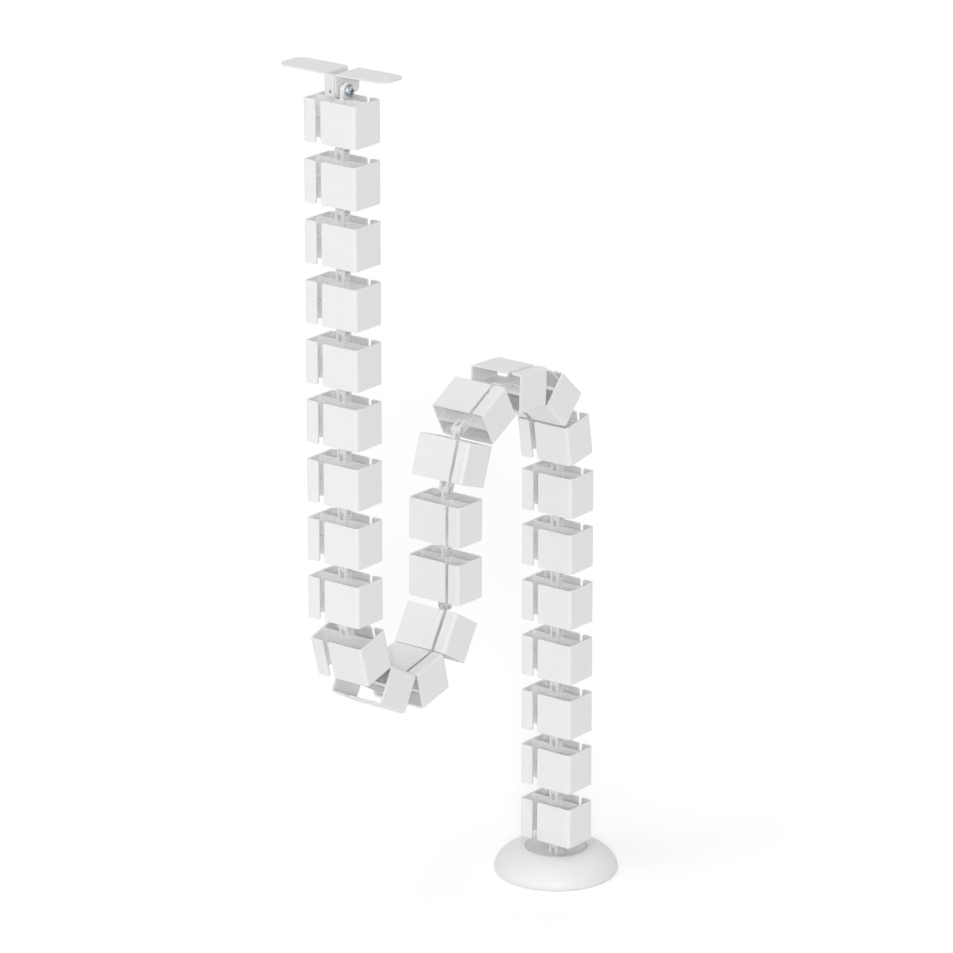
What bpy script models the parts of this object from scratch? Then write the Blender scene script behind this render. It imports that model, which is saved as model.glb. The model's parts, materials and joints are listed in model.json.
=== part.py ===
"""Cable organiser for a sit-stand desk, a chain of moulded links between desk and floor.

Two steel angle plates are screwed under the desk. A chain of identical moulded
vertebrae hangs from them on one screw, each vertebra snapped into the next, and ends
in a weighted round foot on the floor. The chain is shown folded into an S, as it
hangs when the desk is low.

Units are metres, +Z is up, +X runs along every hinge axis, and the chain bends in the
YZ plane. The origin lies in the plane of the desk's underside, straight above the top
hinge and in the middle of the chain's width.
"""

from math import atan2, cos, pi, radians, sin, tan

import bmesh
import bpy
from mathutils import Matrix, Vector

# Vertebra, its outer walls: an S section, open through one slot in front and one behind
WIDTH = 0.0510
DEPTH = 0.0326
HEIGHT = 0.0339
WALL = 0.0018
CORNER_RADIUS = 0.0030
FRONT_LIP = 0.0125
FRONT_SLOT = 0.0051
BACK_LIP = 0.0104
BACK_SLOT = 0.0030
SLOT_CORNER_RADIUS = 0.0016

# Vertebra, its middle web, with a hub that carries the hinge and a rib at half height
WEB = 0.0020
WEB_AT_HUB = 0.0026
HUB_MARGIN = 0.0004
HUB_FILLET = 0.0020
RIB_HEIGHT = 0.0012
RIB_PROUD = 0.0008

# Snap hinge: a fork with two unequal ears above, a tongue with a pin below
STOP_BEND = radians(46.8)
FORK_OFFSET = -0.0004
FORK_GAP = 0.0034
LEFT_EAR = 0.0022
RIGHT_EAR = 0.0031
EAR_RADIUS = 0.0042
PIN_RADIUS = 0.0023
PIN_SETBACK = 0.0003
CLEARANCE = 0.0003

# Chain, and how it is folded: bends in degrees, from one vertebra to the next
VERTEBRAE = 27
FIRST_BENT = 10
BOTTOM_BENDS = (16, 45.5, 42, 45.5, 30.5)
STRAIGHT_BETWEEN = 1
TOP_BENDS = (18.5, 43, 31, 39.5, 38.5, 9)

# Desk bracket, folded from sheet
HINGE_DROP = 0.0130
SHEET = 0.0015
BEND_RADIUS = 0.0020
PLATE_DEPTH = 0.0280
PLATE_FRONT = 0.0070
PLATE_REACH = 0.0475
PLATE_CORNER_RADIUS = 0.0090
FLANGE_DROP = 0.0184
FLANGE_CORNER_RADIUS = 0.0035
DESK_HOLE_RADIUS = 0.0021
DESK_HOLE_EDGE = 0.0096
TAB_WIDTH = 0.0091
TAB_TOP_DROP = 0.0022
TAB_CORNER_RADIUS = 0.0025
TAB_HOLE_RADIUS = 0.0013
TAB_HOLE_EDGE = 0.0043
TAB_HOLE_DROP = 0.0146

# Bracket screw and what is threaded on it
SCREW_LENGTH = 0.0200
HEAD_RADIUS = 0.0050
HEAD_HEIGHT = 0.0031
RECESS_REACH = 0.0024
RECESS_WIDTH = 0.0011
RECESS_DEPTH = 0.0016
WASHER_RADIUS = 0.0067
WASHER_HEIGHT = 0.0022
SPACER_RADIUS = 0.0042
NUT_ACROSS_FLATS = 0.0080
NUT_HEIGHT = 0.0032

# Foot: a domed shell over a steel weight, on a rubber pad
FOOT_RADIUS = 0.0518
FOOT_HEIGHT = 0.0216
FOOT_TURN_IN = 0.0016
FOOT_WIDEST_HEIGHT = 0.0030
DOME_FULLNESS = 1.25
RIM_RADIUS = 0.0257
RIM_BELOW_HINGE = 0.0002
RIM_ROUND = 0.0012
BOWL_FLOOR_RADIUS = 0.0130
SHELL_WALL = 0.0025
WEIGHT_MARGIN = 0.0115
WEIGHT_HEIGHT = 0.0090
PAD_HEIGHT = 0.0015
PAD_PROUD = 0.0005
FOOT_SCREWS = 3
FOOT_SCREW_EDGE = 0.0110
FOOT_SCREW_RADIUS = 0.0016
FOOT_SCREW_HEAD_RADIUS = 0.0032
FOOT_SCREW_HEAD_HEIGHT = 0.0018

# Facets of the round forms
CORNER_STEPS = 2
EAR_STEPS = 4
PIN_STEPS = 6
HOLE_STEPS = 8
PLATE_CORNER_STEPS = 4
SCREW_STEPS = 12
FOOT_STEPS = 24
DOME_STEPS = 5
BOWL_STEPS = 3

EMBED = 0.0010
WELD = 0.00001

# Worked out from the sizes above
END_CLEAR = DEPTH / 2 * tan(STOP_BEND / 2)
PITCH = HEIGHT + 2 * END_CLEAR
WALLS_TOP = -END_CLEAR
WALLS_BOTTOM = -END_CLEAR - HEIGHT
GAP_LEFT = FORK_OFFSET - FORK_GAP / 2
GAP_RIGHT = FORK_OFFSET + FORK_GAP / 2
FORK_LEFT = GAP_LEFT - LEFT_EAR
FORK_RIGHT = GAP_RIGHT + RIGHT_EAR
TONGUE = FORK_GAP - 2 * CLEARANCE
TONGUE_RADIUS = EAR_RADIUS - CLEARANCE
HINGE_HOLE_RADIUS = PIN_RADIUS + CLEARANCE
HUB_HALF_DEPTH = EAR_RADIUS + HUB_MARGIN
WEIGHT_RADIUS = FOOT_RADIUS - WEIGHT_MARGIN
FOOT_SCREW_CIRCLE = WEIGHT_RADIUS - FOOT_SCREW_EDGE

# Planes in which an outline is drawn: its own x and y, then the way it is extruded
XY_PLANE = Matrix.Identity(4)
YZ_PLANE = Matrix(((0, 0, 1, 0), (1, 0, 0, 0), (0, 1, 0, 0), (0, 0, 0, 1)))
XZ_PLANE = Matrix(((1, 0, 0, 0), (0, 0, -1, 0), (0, 1, 0, 0), (0, 0, 0, 1)))


def clear_scene():
    for old in list(bpy.data.objects):
        bpy.data.objects.remove(old)


def new_collection(name):
    collection = bpy.data.collections.new(name)
    bpy.context.scene.collection.children.link(collection)
    return collection


def principled(name, color, roughness, metallic=0.0):
    material = bpy.data.materials.new(name)
    material.use_nodes = True
    shader = material.node_tree.nodes["Principled BSDF"]
    shader.inputs["Base Color"].default_value = (*color, 1.0)
    shader.inputs["Roughness"].default_value = roughness
    shader.inputs["Metallic"].default_value = metallic
    return material


def arc(centre, radius, start, end, steps):
    """Points on an arc, from one angle to the other in degrees, both ends included."""
    angles = (radians(start + (end - start) * i / steps) for i in range(steps + 1))
    return [(centre[0] + radius * cos(a), centre[1] + radius * sin(a)) for a in angles]


def rounded_rectangle(left, right, bottom, top, radius, steps):
    """Outline of a rectangle with four round corners, counter-clockwise."""
    return (
        arc((right - radius, bottom + radius), radius, -90, 0, steps)
        + arc((right - radius, top - radius), radius, 0, 90, steps)
        + arc((left + radius, top - radius), radius, 90, 180, steps)
        + arc((left + radius, bottom + radius), radius, 180, 270, steps)
    )


def mesh_object(name, mesh, collection):
    made = bpy.data.objects.new(name, mesh)
    collection.objects.link(made)
    return made


def prism(name, outlines, low, high, plane, tools):
    """Solid between two parallel planes with the given outlines; inner ones are holes."""
    curve = bpy.data.curves.new(name, "CURVE")
    curve.dimensions = "2D"
    curve.fill_mode = "BOTH"
    curve.extrude = (high - low) / 2
    for outline in outlines:
        spline = curve.splines.new("POLY")
        spline.points.add(len(outline) - 1)
        for point, (x, y) in zip(spline.points, outline):
            point.co = (x, y, 0, 1)
        spline.use_cyclic_u = True
    drawn = mesh_object(name + "_outline", curve, tools)
    bpy.context.view_layer.update()
    mesh = bpy.data.meshes.new_from_object(drawn.evaluated_get(bpy.context.evaluated_depsgraph_get()))
    bpy.data.objects.remove(drawn)
    tidy = bmesh.new()
    tidy.from_mesh(mesh)
    bmesh.ops.remove_doubles(tidy, verts=tidy.verts, dist=WELD)
    bmesh.ops.translate(tidy, vec=(0, 0, (low + high) / 2), verts=tidy.verts)
    bmesh.ops.transform(tidy, matrix=plane, verts=tidy.verts)
    bmesh.ops.recalc_face_normals(tidy, faces=tidy.faces)
    tidy.to_mesh(mesh)
    tidy.free()
    return mesh_object(name, mesh, tools)


def turned(name, profile, steps, tools, along_x=False):
    """Solid turned about the Z axis from (radius, height) points, or about the X axis."""
    mesh = bpy.data.meshes.new(name)
    edges = [(i, i + 1) for i in range(len(profile) - 1)]
    mesh.from_pydata([(radius, 0, height) for radius, height in profile], edges, [])
    lathe = mesh_object(name, mesh, tools)
    spin = lathe.modifiers.new("Turn", "SCREW")
    spin.steps = steps
    spin.render_steps = steps
    spin.use_merge_vertices = True
    spin.merge_threshold = WELD
    bake(lathe)
    if along_x:
        lathe.data.transform(Matrix.Rotation(pi / 2, 4, "Y"))
    return lathe


def box(name, low, high, tools):
    solid = bmesh.new()
    bmesh.ops.create_cube(solid, size=1)
    size = Vector(high) - Vector(low)
    bmesh.ops.scale(solid, vec=size, verts=solid.verts)
    bmesh.ops.translate(solid, vec=Vector(low) + size / 2, verts=solid.verts)
    mesh = bpy.data.meshes.new(name)
    solid.to_mesh(mesh)
    solid.free()
    return mesh_object(name, mesh, tools)


def bake(target):
    """Replace an object's mesh by the mesh that its modifiers give."""
    bpy.context.view_layer.update()
    shaped = target.evaluated_get(bpy.context.evaluated_depsgraph_get())
    mesh = bpy.data.meshes.new_from_object(shaped)
    target.modifiers.clear()
    target.data = mesh


def combine(target, tool, operation):
    change = target.modifiers.new(operation.title(), "BOOLEAN")
    change.operation = operation
    change.solver = "EXACT"
    change.object = tool
    bake(target)
    bpy.data.objects.remove(tool)


def join(target, *tools):
    for tool in tools:
        combine(target, tool, "UNION")


def cut(target, *tools):
    for tool in tools:
        combine(target, tool, "DIFFERENCE")


def finish(target, material, collection, tools):
    """Merge flat facets, shade the round ones smooth, and file the piece with the parts."""
    tidy = bmesh.new()
    tidy.from_mesh(target.data)
    bmesh.ops.remove_doubles(tidy, verts=tidy.verts, dist=WELD)
    bmesh.ops.dissolve_limit(tidy, angle_limit=radians(0.5), verts=tidy.verts, edges=tidy.edges)
    tidy.to_mesh(target.data)
    tidy.free()
    target.data.materials.clear()
    target.data.materials.append(material)
    target.data.shade_smooth()
    target.data.set_sharp_from_angle(angle=radians(40))
    tools.objects.unlink(target)
    collection.objects.link(target)
    return target


def compartment(side):
    """Outline of the room in front of the web (side -1) or behind it (side 1)."""
    left = -WIDTH / 2 + WALL
    right = WIDTH / 2 - WALL
    wall = DEPTH / 2 - WALL
    web = WEB / 2
    root = WEB_AT_HUB / 2
    hub_left = FORK_LEFT - HUB_MARGIN
    hub_right = FORK_RIGHT + HUB_MARGIN
    outline = [(left, web), (left, wall), (right, wall), (right, web)]
    outline += [(hub_right + HUB_FILLET, root), (hub_right, root + HUB_FILLET)]
    outline += [(hub_right, HUB_HALF_DEPTH), (hub_left, HUB_HALF_DEPTH)]
    outline += [(hub_left, root + HUB_FILLET), (hub_left - HUB_FILLET, root)]
    return [(x, side * y) for x, y in outline]


def slot_cutter(name, left, right, side, tools):
    """Slot through the front or back wall, its four wall corners rounded."""
    radius = SLOT_CORNER_RADIUS
    above = WALLS_TOP + EMBED
    below = WALLS_BOTTOM - EMBED
    outline = [(left - radius, above)]
    outline += arc((left - radius, WALLS_TOP - radius), radius, 90, 0, CORNER_STEPS)
    outline += arc((left - radius, WALLS_BOTTOM + radius), radius, 0, -90, CORNER_STEPS)
    outline += [(left - radius, below), (right + radius, below)]
    outline += arc((right + radius, WALLS_BOTTOM + radius), radius, 270, 180, CORNER_STEPS)
    outline += arc((right + radius, WALLS_TOP - radius), radius, 180, 90, CORNER_STEPS)
    outline += [(right + radius, above)]
    middle = -side * (DEPTH - WALL) / 2
    reach = WALL / 2 + EMBED
    return prism(name, [outline], middle - reach, middle + reach, XZ_PLANE, tools)


def web_rib(name, side, tools):
    """Level rib across the web, from the wall at the slot to the hub."""
    middle = (WALLS_TOP + WALLS_BOTTOM) / 2
    if side < 0:
        ends = (-WIDTH / 2 + WALL / 2, FORK_LEFT)
    else:
        ends = (FORK_RIGHT, WIDTH / 2 - WALL / 2)
    near, far = sorted((side * WEB / 4, side * (WEB / 2 + RIB_PROUD)))
    low = (ends[0], near, middle - RIB_HEIGHT / 2)
    high = (ends[1], far, middle + RIB_HEIGHT / 2)
    return box(name, low, high, tools)


def ear(name, left, right, root, tools):
    """Round-ended ear about the hinge axis, rooted below it, with the pin's hole."""
    outline = [(-EAR_RADIUS, root), (EAR_RADIUS, root)]
    outline += arc((0, 0), EAR_RADIUS, 0, 180, EAR_STEPS)
    hole = arc((0, 0), HINGE_HOLE_RADIUS, 0, 360, HOLE_STEPS)[:-1]
    return prism(name, [outline, hole], left, right, YZ_PLANE, tools)


def fork(root, tools):
    """The two ears that take a tongue between them, about the origin's X axis."""
    return (
        ear("left_ear", FORK_LEFT, GAP_LEFT, root, tools),
        ear("right_ear", GAP_RIGHT, FORK_RIGHT, root, tools),
    )


def tongue(tools):
    """Blade below the walls, with the pin that snaps into the next fork's ears."""
    root = WALLS_BOTTOM + EMBED
    outline = [(TONGUE_RADIUS, root), (-TONGUE_RADIUS, root)]
    outline += arc((0, -PITCH), TONGUE_RADIUS, 180, 360, EAR_STEPS)
    blade_left = FORK_OFFSET - TONGUE / 2
    blade = prism("tongue", [outline], blade_left, blade_left + TONGUE, YZ_PLANE, tools)
    pin_outline = arc((0, -PITCH), PIN_RADIUS, 0, 360, PIN_STEPS)[:-1]
    pin_ends = (FORK_LEFT + PIN_SETBACK, FORK_RIGHT - PIN_SETBACK)
    pin = prism("pin", [pin_outline], *pin_ends, YZ_PLANE, tools)
    join(blade, pin)
    return blade


def vertebra_mesh(material, collection, tools):
    """One vertebra about its upper hinge, in one moulding; all the links share it."""
    outer = rounded_rectangle(
        -WIDTH / 2, WIDTH / 2, -DEPTH / 2, DEPTH / 2, CORNER_RADIUS, CORNER_STEPS
    )
    outlines = [outer, compartment(-1), compartment(1)]
    body = prism("vertebra", outlines, WALLS_BOTTOM, WALLS_TOP, XY_PLANE, tools)
    front_left = -WIDTH / 2 + FRONT_LIP
    back_right = WIDTH / 2 - BACK_LIP
    front_slot = slot_cutter("front_slot", front_left, front_left + FRONT_SLOT, -1, tools)
    back_slot = slot_cutter("back_slot", back_right - BACK_SLOT, back_right, 1, tools)
    cut(body, front_slot, back_slot)
    join(body, web_rib("front_rib", -1, tools), web_rib("back_rib", 1, tools))
    join(body, *fork(WALLS_TOP - EMBED, tools), tongue(tools))
    finish(body, material, collection, tools)
    mesh = body.data
    mesh.name = "vertebra"
    bpy.data.objects.remove(body)
    return mesh


def chain_angles():
    """Turn of each vertebra about X, 0 hanging straight down."""
    bends = [0] * (FIRST_BENT - 1) + list(BOTTOM_BENDS) + [0] * STRAIGHT_BETWEEN
    bends += [-bend for bend in TOP_BENDS]
    bends += [0] * (VERTEBRAE - len(bends))
    angles = []
    turn = 0
    for bend in bends[:VERTEBRAE]:
        turn += bend
        angles.append(radians(turn))
    return angles


def chain_hinges():
    """Place of each hinge axis in the YZ plane, from the bracket's to the foot's."""
    places = [Vector((0, 0, -HINGE_DROP))]
    for turn in chain_angles():
        places.append(places[-1] + PITCH * Vector((0, sin(turn), -cos(turn))))
    return places


def build_chain(white, collection, tools):
    mesh = vertebra_mesh(white, collection, tools)
    for number, (place, turn) in enumerate(zip(chain_hinges(), chain_angles()), start=1):
        link = mesh_object("vertebra_%02d" % number, mesh, collection)
        link.location = place
        link.rotation_euler.x = turn


def angle_profile(reach):
    """Section of an angle plate in X and Z, its flange along X = 0 and its arm to +X."""
    outer = BEND_RADIUS
    inner = BEND_RADIUS - SHEET
    outline = [(0, -FLANGE_DROP), (SHEET, -FLANGE_DROP)]
    outline += arc((outer, -outer), inner, 180, 90, CORNER_STEPS)
    outline += [(reach, -SHEET), (reach, 0)]
    outline += arc((outer, -outer), outer, 90, 180, CORNER_STEPS)
    return outline


def plate_arm_trim(reach, tools):
    """What is cut off the arm's end to round its two corners."""
    radius = PLATE_CORNER_RADIUS
    front = -PLATE_FRONT
    back = front + PLATE_DEPTH
    start = reach - radius
    outline = [(start, front - EMBED), (reach + EMBED, front - EMBED)]
    outline += [(reach + EMBED, back + EMBED), (start, back + EMBED)]
    outline += arc((start, back - radius), radius, 90, 0, PLATE_CORNER_STEPS)
    outline += arc((start, front + radius), radius, 0, -90, PLATE_CORNER_STEPS)
    return prism("arm_trim", [outline], -SHEET - EMBED, EMBED, XY_PLANE, tools)


def flange_trim(tools):
    """What is cut off the flange's lower edge to round its two corners."""
    radius = FLANGE_CORNER_RADIUS
    front = -PLATE_FRONT
    back = front + PLATE_DEPTH
    bottom = -FLANGE_DROP
    outline = [(front - EMBED, bottom + radius), (front - EMBED, bottom - EMBED)]
    outline += [(back + EMBED, bottom - EMBED), (back + EMBED, bottom + radius)]
    outline += arc((back - radius, bottom + radius), radius, 0, -90, CORNER_STEPS)
    outline += arc((front + radius, bottom + radius), radius, 270, 180, CORNER_STEPS)
    return prism("flange_trim", [outline], -EMBED, SHEET + EMBED, YZ_PLANE, tools)


def rod(name, centre, radius, low, high, plane, tools, steps=SCREW_STEPS):
    """Plain round bar across the given plane, for holes and bosses."""
    return prism(name, [arc(centre, radius, 0, 360, steps)[:-1]], low, high, plane, tools)


def angle_plate(name, tools):
    """Angle plate with its flange at X = 0: arm, flange, desk hole and screw hole."""
    front = -PLATE_FRONT
    back = front + PLATE_DEPTH
    plate = prism(name, [angle_profile(PLATE_REACH)], -back, -front, XZ_PLANE, tools)
    hole_at = (PLATE_REACH - DESK_HOLE_EDGE, front + PLATE_DEPTH / 2)
    cut(
        plate,
        plate_arm_trim(PLATE_REACH, tools),
        flange_trim(tools),
        rod("desk_hole", hole_at, DESK_HOLE_RADIUS, -SHEET - EMBED, EMBED, XY_PLANE, tools),
        rod("screw_hole", (0, -HINGE_DROP), HINGE_HOLE_RADIUS, -EMBED, SHEET + EMBED, YZ_PLANE, tools),
    )
    return plate


def spacer_tab(tools):
    """Tab folded from the flange's front edge, drawn on the angle plate before mirroring."""
    outer = BEND_RADIUS
    inner = BEND_RADIUS - SHEET
    front = -PLATE_FRONT
    turn_at = (SHEET - outer, front + outer)
    fold = [(SHEET - EMBED, front + outer + EMBED), (SHEET, front + outer + EMBED)]
    fold += arc(turn_at, outer, 0, -90, CORNER_STEPS)
    fold += [(-TAB_WIDTH, front), (-TAB_WIDTH, front + SHEET)]
    fold += arc(turn_at, inner, -90, 0, CORNER_STEPS)
    fold += [(SHEET - EMBED, front + outer)]
    tab = prism("tab", [fold], -FLANGE_DROP, -TAB_TOP_DROP, XY_PLANE, tools)
    radius = TAB_CORNER_RADIUS
    corner = (SHEET - radius, -FLANGE_DROP + radius)
    trim = [(SHEET + EMBED, -FLANGE_DROP - EMBED), (SHEET + EMBED, corner[1])]
    trim += arc(corner, radius, 0, -90, CORNER_STEPS)
    trim += [(corner[0], -FLANGE_DROP - EMBED)]
    tab_back = -(front + SHEET)
    hole_at = (-TAB_WIDTH + TAB_HOLE_EDGE, -TAB_HOLE_DROP)
    cut(
        tab,
        prism("tab_trim", [trim], tab_back - EMBED, -front + EMBED, XZ_PLANE, tools),
        rod("tab_hole", hole_at, TAB_HOLE_RADIUS, tab_back - EMBED, -front + EMBED, XZ_PLANE, tools),
    )
    return tab


def flange_places():
    """X of the two flanges' near faces: the right one in the fork, the left past the tab."""
    right_flange = FORK_OFFSET - SHEET / 2
    left_flange = right_flange - CLEARANCE - TAB_WIDTH
    return left_flange, right_flange


def build_plates(painted, collection, tools):
    left_flange, right_flange = flange_places()
    right = angle_plate("mounting_plate_right", tools)
    right.data.transform(Matrix.Translation((right_flange, 0, 0)))
    finish(right, painted, collection, tools)
    left = angle_plate("mounting_plate_left", tools)
    front = -PLATE_FRONT
    room = BEND_RADIUS
    low = (-EMBED, front - EMBED, -FLANGE_DROP - EMBED)
    high = (SHEET + EMBED, front + room, -TAB_TOP_DROP)
    cut(left, box("fold_room", low, high, tools))
    join(left, spacer_tab(tools))
    left.data.transform(Matrix.Translation((left_flange, 0, 0)) @ Matrix.Scale(-1, 4, (1, 0, 0)))
    left.data.flip_normals()
    finish(left, painted, collection, tools)


def screw_head(start, tools):
    """Domed pan head on the +X side of a face, with a cross recess."""
    steps = BOWL_STEPS
    rise = HEAD_HEIGHT / 2
    profile = [(0, start + HEAD_HEIGHT)]
    for i in range(1, steps + 1):
        turn = pi / 2 * i / steps
        profile.append((HEAD_RADIUS * sin(turn), start + rise + rise * cos(turn)))
    profile += [(HEAD_RADIUS, start), (0, start)]
    head = turned("head", profile, SCREW_STEPS, tools, along_x=True)
    top = start + HEAD_HEIGHT
    for low_high in ((RECESS_REACH, RECESS_WIDTH / 2), (RECESS_WIDTH / 2, RECESS_REACH)):
        across, along = low_high
        low = (top - RECESS_DEPTH, -across, -along)
        high = (top + EMBED, across, along)
        cut(head, box("recess", low, high, tools))
    return head


def build_bracket_screw(zinc, white, collection, tools):
    """The screw through fork and plates, with its washer, spacer and pressed nut."""
    left_flange, _ = flange_places()
    nut_left = left_flange + CLEARANCE
    nut_right = nut_left + NUT_HEIGHT
    washer_at = FORK_RIGHT + CLEARANCE
    head_at = washer_at + WASHER_HEIGHT + CLEARANCE
    hole = HINGE_HOLE_RADIUS
    ring = (
        ("clamp_washer", white, WASHER_RADIUS, washer_at, washer_at + WASHER_HEIGHT),
        ("clamp_spacer", zinc, SPACER_RADIUS, nut_right + CLEARANCE, FORK_LEFT - CLEARANCE),
    )
    for name, material, radius, low, high in ring:
        profile = [(hole, high), (radius, high), (radius, low), (hole, low), (hole, high)]
        piece = turned(name, profile, SCREW_STEPS, tools, along_x=True)
        finish(piece, material, collection, tools).location.z = -HINGE_DROP
    screw = screw_head(head_at, tools)
    shank = rod("shank", (0, 0), PIN_RADIUS, head_at - SCREW_LENGTH, head_at + EMBED, YZ_PLANE, tools)
    join(screw, shank)
    screw.name = "clamp_screw"
    finish(screw, zinc, collection, tools).location.z = -HINGE_DROP
    corner = NUT_ACROSS_FLATS / 2 / cos(pi / 6)
    outline = arc((0, 0), corner, 0, 360, 6)[:-1]
    bore = arc((0, 0), hole, 0, 360, SCREW_STEPS)[:-1]
    nut = prism("clamp_nut", [outline, bore], nut_left, nut_right, YZ_PLANE, tools)
    finish(nut, zinc, collection, tools).location.z = -HINGE_DROP


def dome_profile():
    """Outer side of the foot from the rim down to its lower edge, about the hinge's level."""
    rim_top = -RIM_BELOW_HINGE
    base = rim_top - FOOT_HEIGHT + PAD_PROUD
    widest = base + FOOT_WIDEST_HEIGHT
    start = RIM_RADIUS + RIM_ROUND
    points = []
    for i in range(DOME_STEPS + 1):
        turn = pi / 2 * i / DOME_STEPS
        radius = start + (FOOT_RADIUS - start) * sin(turn)
        height = widest + (rim_top - widest) * cos(turn) ** DOME_FULLNESS
        points.append((radius, height))
    points.append((FOOT_RADIUS - FOOT_TURN_IN, base))
    return points


def bowl_profile():
    """Inner side of the foot's bowl, from its floor's middle up to the rim."""
    floor = -END_CLEAR
    rim_top = -RIM_BELOW_HINGE
    points = [(0, floor)]
    for i in range(BOWL_STEPS + 1):
        turn = pi / 2 * i / BOWL_STEPS
        radius = BOWL_FLOOR_RADIUS + (RIM_RADIUS - BOWL_FLOOR_RADIUS) * sin(turn)
        height = floor + (rim_top - RIM_ROUND - floor) * (1 - cos(turn))
        points.append((radius, height))
    points.append((RIM_RADIUS + RIM_ROUND / 3, rim_top - RIM_ROUND / 3))
    return points


def foot_levels():
    """Heights below the foot's hinge: cavity roof, weight's top and bottom, pad's top."""
    roof = -END_CLEAR - SHELL_WALL
    weight_top = roof - CLEARANCE
    weight_bottom = weight_top - WEIGHT_HEIGHT
    pad_bottom = -RIM_BELOW_HINGE - FOOT_HEIGHT
    return roof, weight_top, weight_bottom, pad_bottom


def screw_circle():
    turns = [2 * pi * (i + 0.5) / FOOT_SCREWS for i in range(FOOT_SCREWS)]
    return [(FOOT_SCREW_CIRCLE * cos(a), FOOT_SCREW_CIRCLE * sin(a)) for a in turns]


def foot_shell(tools):
    """Dome with a bowl in its top, hollow below, and the fork that takes the last tongue."""
    roof, _, _, pad_bottom = foot_levels()
    base = pad_bottom + PAD_PROUD
    inside = WEIGHT_RADIUS + CLEARANCE
    mouth = FOOT_RADIUS - FOOT_TURN_IN - SHELL_WALL
    pad_seat = pad_bottom + PAD_HEIGHT + CLEARANCE
    profile = bowl_profile() + dome_profile()
    profile += [(mouth, base), (mouth, pad_seat), (inside, pad_seat), (inside, roof), (0, roof)]
    shell = turned("foot_shell", profile, FOOT_STEPS, tools)
    join(shell, *fork(-END_CLEAR - EMBED, tools))
    pilot = FOOT_SCREW_RADIUS + CLEARANCE
    for centre in screw_circle():
        top = roof + SHELL_WALL / 2
        cut(shell, rod("pilot", centre, pilot, roof - EMBED, top, XY_PLANE, tools, HOLE_STEPS))
    return shell


def foot_weight(tools):
    """Steel disc in the shell, with a stepped hole for each of its screws."""
    _, top, bottom, _ = foot_levels()
    profile = [(0, top), (WEIGHT_RADIUS, top), (WEIGHT_RADIUS, bottom), (0, bottom)]
    weight = turned("foot_weight", profile, FOOT_STEPS, tools)
    seat = bottom + FOOT_SCREW_HEAD_HEIGHT + 2 * CLEARANCE
    for centre in screw_circle():
        hole = FOOT_SCREW_RADIUS + CLEARANCE
        sink = FOOT_SCREW_HEAD_RADIUS + CLEARANCE
        cut(
            weight,
            rod("hole", centre, hole, bottom - EMBED, top + EMBED, XY_PLANE, tools, HOLE_STEPS),
            rod("sink", centre, sink, bottom - EMBED, seat, XY_PLANE, tools, HOLE_STEPS),
        )
    return weight


def foot_screw(tools):
    """One of the screws that hold the weight, about the foot's axis."""
    roof, _, bottom, _ = foot_levels()
    head_bottom = bottom + CLEARANCE
    head_top = head_bottom + FOOT_SCREW_HEAD_HEIGHT
    tip = roof + SHELL_WALL / 2 - CLEARANCE
    profile = [(0, tip), (FOOT_SCREW_RADIUS, tip), (FOOT_SCREW_RADIUS, head_top)]
    profile += [(FOOT_SCREW_HEAD_RADIUS, head_top), (FOOT_SCREW_HEAD_RADIUS, head_bottom)]
    profile += [(0, head_bottom)]
    return turned("foot_screw_1", profile, HOLE_STEPS, tools)


def foot_pad(tools):
    """Rubber disc that closes the shell's mouth and stands a little proud of it."""
    _, _, _, bottom = foot_levels()
    top = bottom + PAD_HEIGHT
    radius = FOOT_RADIUS - FOOT_TURN_IN - SHELL_WALL - CLEARANCE
    profile = [(0, top), (radius, top), (radius, bottom), (0, bottom)]
    return turned("foot_pad", profile, FOOT_STEPS, tools)


def build_foot(white, steel, zinc, rubber, collection, tools):
    """The foot about its own hinge, which an empty marks."""
    pivot = bpy.data.objects.new("foot_pivot", None)
    collection.objects.link(pivot)
    pivot.location = chain_hinges()[-1]
    pieces = (
        (foot_shell(tools), white),
        (foot_weight(tools), steel),
        (foot_pad(tools), rubber),
    )
    for piece, material in pieces:
        finish(piece, material, collection, tools).parent = pivot
    screw = finish(foot_screw(tools), zinc, collection, tools)
    for number, (x, y) in enumerate(screw_circle(), start=1):
        if number > 1:
            screw = mesh_object("foot_screw_%d" % number, screw.data, collection)
        screw.parent = pivot
        screw.location = (x, y, 0)


def main():
    clear_scene()
    parts = new_collection("cable_organizer")
    tools = new_collection("cutters")
    white = principled("white_plastic", (0.86, 0.86, 0.87), 0.42)
    painted = principled("white_paint", (0.84, 0.84, 0.85), 0.38)
    zinc = principled("zinc_steel", (0.72, 0.74, 0.76), 0.25, 1.0)
    steel = principled("weight_steel", (0.32, 0.32, 0.33), 0.55, 1.0)
    rubber = principled("pad_rubber", (0.05, 0.05, 0.05), 0.80)
    build_plates(painted, parts, tools)
    build_bracket_screw(zinc, white, parts, tools)
    build_chain(white, parts, tools)
    build_foot(white, steel, zinc, rubber, parts, tools)


main()
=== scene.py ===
"""Looks of the cable organizer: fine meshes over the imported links, bracket and foot, their
materials, a pale studio and the photograph's camera."""

import json
from math import atan2, cos, pi, radians, sin, tan

import bmesh
import bpy
from mathutils import Matrix, Vector


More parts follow.
